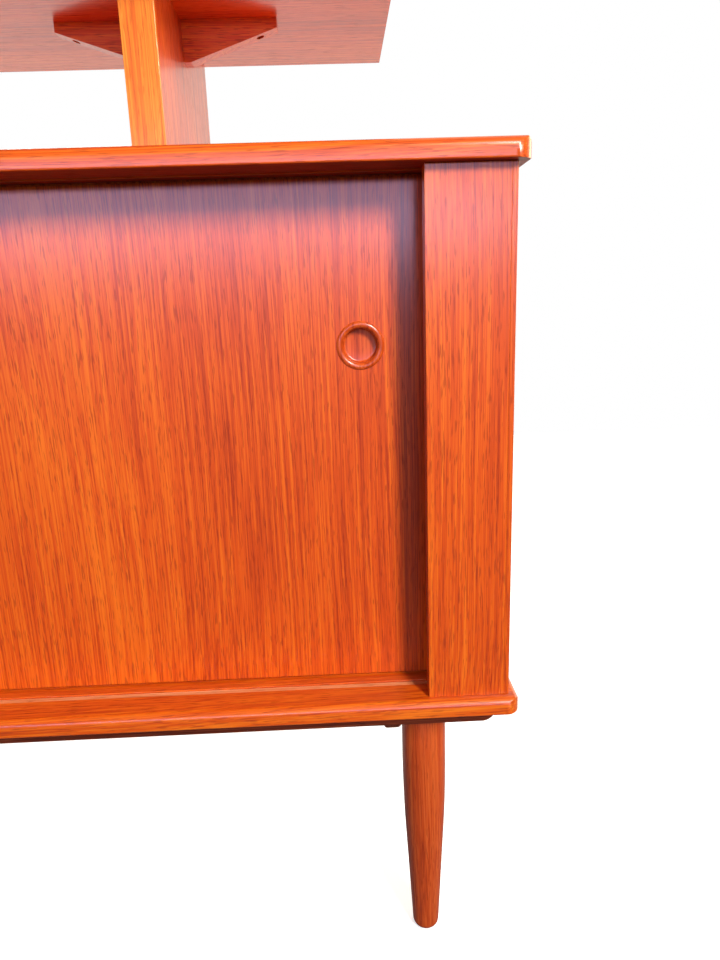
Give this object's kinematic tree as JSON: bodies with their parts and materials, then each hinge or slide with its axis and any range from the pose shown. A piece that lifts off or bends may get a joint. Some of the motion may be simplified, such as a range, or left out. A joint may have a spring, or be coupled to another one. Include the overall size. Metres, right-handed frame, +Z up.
{
  "type": "secretary desk",
  "caption": "Low case with sliding doors on turned tapered legs, carrying on two uprights a cabinet with a fall front writing flap, a pigeonhole organiser and drawers.",
  "frame": {"origin": "centre of the overall box in plan, at floor level", "axes": "+X to the desk's right, +Y to its back, +Z up; the doors, drawers and fall front face -Y"},
  "size_m": [1.208, 0.43, 1.316],
  "materials": {
    "teak": "satin lacquered teak veneer",
    "teak_lipping": "satin lacquered solid teak",
    "teak_dark": "satin stained beech",
    "teak_turned": "satin turned teak",
    "runner_wood": "waxed beech",
    "beech": "matt beech",
    "brass": "satin brass",
    "steel": "plain steel"
  },
  "bodies": {
    "carcass": {"base_top": "teak", "base_bottom": "teak", "side_panel_left": "teak", "side_panel_right": "teak", "stile_left": "teak", "stile_right": "teak", "stile_lippings": "teak_lipping", "stile_returns": "teak", "base_back": "teak", "base_partition": "teak", "base_shelves": "teak", "shelf_pins": "brass", "door_tracks": "runner_wood", "rail_front": "teak_dark", "rail_rear": "teak_dark", "bearers": "teak_dark", "leg_front_left": "teak", "leg_front_right": "teak", "leg_rear_left": "teak", "leg_rear_right": "teak", "leg_bolts": "steel", "upright_left": "teak", "upright_right": "teak", "upright_lippings": "teak_lipping", "brackets": "teak", "bracket_screws": "steel", "hutch_bottom": "teak", "hutch_top": "teak", "hutch_side_left": "teak", "hutch_side_right": "teak", "hutch_divider": "teak", "hutch_back": "teak", "organiser_gables": "teak", "organiser_shelves": "teak", "organiser_dividers": "teak", "hinge_cabinet_leaves": "brass", "stay_studs": "brass", "drawer_runners": "beech"},
    "door_left": {"door_left": "teak", "door_pull_left": "teak_turned"},
    "door_right": {"door_right": "teak", "door_pull_right": "teak_turned"},
    "fall_front": {"fall_front": "teak", "hinge_flap_leaves": "brass", "stay_brackets": "brass", "lock_case": "brass"},
    "stay_left": {"stay_left": "brass"},
    "stay_right": {"stay_right": "brass"},
    "key": {"key": "brass"},
    "drawer_top": {"drawer_front_top": "teak", "drawer_box_top": "beech", "drawer_pull_top": "teak_turned"},
    "drawer_mid": {"drawer_front_mid": "teak", "drawer_box_mid": "beech", "drawer_pull_mid": "teak_turned"},
    "drawer_low": {"drawer_front_low": "teak", "drawer_box_low": "beech", "drawer_pull_low": "teak_turned"},
    "inner_drawer_left": {"inner_drawer_left": "teak"},
    "inner_drawer_right": {"inner_drawer_right": "teak"}
  },
  "joints": [
    {"name": "door_left_slide", "type": "slide", "parent": "carcass", "child": "door_left", "axis": [1, 0, 0], "range_m": [0, 0.53]},
    {"name": "door_right_slide", "type": "slide", "parent": "carcass", "child": "door_right", "axis": [1, 0, 0], "range_m": [-0.53, 0]},
    {"name": "flap_hinge", "type": "hinge", "parent": "carcass", "child": "fall_front", "pos_m": [-0.18075, -0.097, 0.941], "axis": [1, 0, 0], "range_deg": [0, 90]},
    {"name": "stay_left_pivot", "type": "hinge", "parent": "fall_front", "child": "stay_left", "pos_m": [-0.5005, -0.089, 1.09079], "axis": [1, 0, 0], "range_deg": [-45.5, 0]},
    {"name": "stay_right_pivot", "type": "hinge", "parent": "fall_front", "child": "stay_right", "pos_m": [0.139, -0.089, 1.09079], "axis": [1, 0, 0], "range_deg": [-45.5, 0]},
    {"name": "key_turn", "type": "hinge", "parent": "fall_front", "child": "key", "pos_m": [-0.18075, -0.115, 1.2712], "axis": [0, -1, 0], "range_deg": [0, 90]},
    {"name": "inner_drawer_left_slide", "type": "slide", "parent": "carcass", "child": "inner_drawer_left", "axis": [0, -1, 0], "range_m": [0, 0.075]},
    {"name": "inner_drawer_right_slide", "type": "slide", "parent": "carcass", "child": "inner_drawer_right", "axis": [0, -1, 0], "range_m": [0, 0.075]},
    {"name": "drawer_top_slide", "type": "slide", "parent": "carcass", "child": "drawer_top", "axis": [0, -1, 0], "range_m": [0, 0.21]},
    {"name": "drawer_mid_slide", "type": "slide", "parent": "carcass", "child": "drawer_mid", "axis": [0, -1, 0], "range_m": [0, 0.21]},
    {"name": "drawer_low_slide", "type": "slide", "parent": "carcass", "child": "drawer_low", "axis": [0, -1, 0], "range_m": [0, 0.21]}
  ],
  "couplings": [
    {"joint": "stay_left_pivot", "follows": "flap_hinge", "ratio": -0.5},
    {"joint": "stay_right_pivot", "follows": "flap_hinge", "ratio": -0.5}
  ]
}
